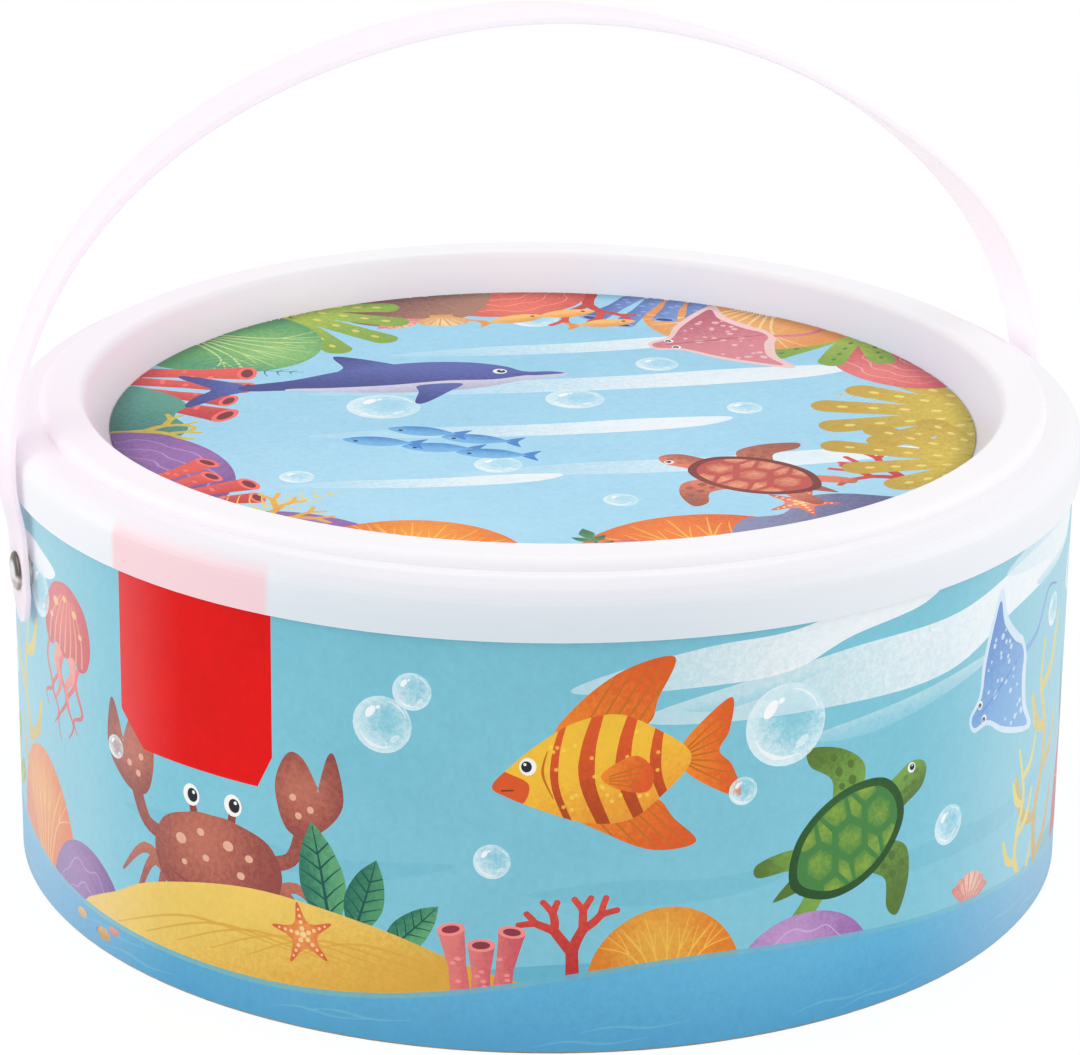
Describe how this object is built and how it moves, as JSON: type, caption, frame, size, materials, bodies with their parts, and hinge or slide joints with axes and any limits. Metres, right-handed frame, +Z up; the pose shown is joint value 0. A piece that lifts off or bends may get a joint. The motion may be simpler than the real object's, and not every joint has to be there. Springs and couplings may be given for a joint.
{
  "type": "magnetic fishing game in a drum",
  "caption": "Round board drum with printed wrap, translucent lift-off lid and swinging strap handle, packed with wooden sea animals, magnets and toy fishing rods.",
  "frame": {"origin": "on the drum's axis, in the plane that the drum stands on", "axes": "+Z up, +X along the handle's hinge line towards the right rivet, -Y towards the print's front"},
  "size_m": [0.2078, 0.2, 0.1568],
  "materials": {
    "board": "matte",
    "printed_paper": "satin",
    "white_paper": "matte",
    "white_plastic": "satin",
    "printed_card": "satin",
    "handle_plastic": "satin",
    "nickel": "polished",
    "steel": "satin",
    "magnet": "satin",
    "bare_wood": "satin",
    "red_wood": "gloss",
    "blue_wood": "gloss",
    "fish_wood": "gloss",
    "crab_wood": "gloss",
    "turtle_wood": "gloss",
    "whale_wood": "gloss",
    "star_wood": "gloss",
    "squid_wood": "gloss"
  },
  "bodies": {
    "root": {"drum_wall": "board", "printed_wrap": "printed_paper", "base_disc": "board", "liner_disc": "white_paper", "rivet_left": "nickel", "spacer_left": "nickel", "backing_washer_left": "nickel", "rivet_right": "nickel", "spacer_right": "nickel", "backing_washer_right": "nickel", "sea_animal_1": "crab_wood", "steel_disc_1": "steel", "sea_animal_2": "turtle_wood", "steel_disc_2": "steel", "sea_animal_3": "whale_wood", "steel_disc_3": "steel", "sea_animal_4": "star_wood", "steel_disc_4": "steel", "sea_animal_5": "squid_wood", "steel_disc_5": "steel", "sea_animal_6": "fish_wood", "steel_disc_6": "steel", "sea_animal_7": "whale_wood", "steel_disc_7": "steel", "sea_animal_8": "star_wood", "steel_disc_8": "steel", "sea_animal_9": "squid_wood", "steel_disc_9": "steel", "sea_animal_10": "fish_wood", "steel_disc_10": "steel", "sea_animal_11": "crab_wood", "steel_disc_11": "steel", "sea_animal_12": "turtle_wood", "steel_disc_12": "steel", "rod_dowel_a": "bare_wood", "rod_tip_a": "bare_wood", "rod_grip_a": "red_wood", "bob_a": "blue_wood", "bob_magnet_a": "magnet", "rod_dowel_b": "bare_wood", "rod_tip_b": "bare_wood", "rod_grip_b": "red_wood", "bob_b": "blue_wood", "bob_magnet_b": "magnet"},
    "lid_body": {"lid": "white_plastic", "lid_print": "printed_card"},
    "handle_body": {"handle": "handle_plastic"}
  },
  "joints": [
    {"name": "lid_lift", "type": "slide", "parent": "root", "child": "lid_body", "axis": [0, 0, 1], "range_m": [0, 0.007]},
    {"name": "handle_swing", "type": "hinge", "parent": "root", "child": "handle_body", "pos_m": [0, 0, 0.0635], "axis": [1, 0, 0], "range_deg": [-41, 63]}
  ]
}
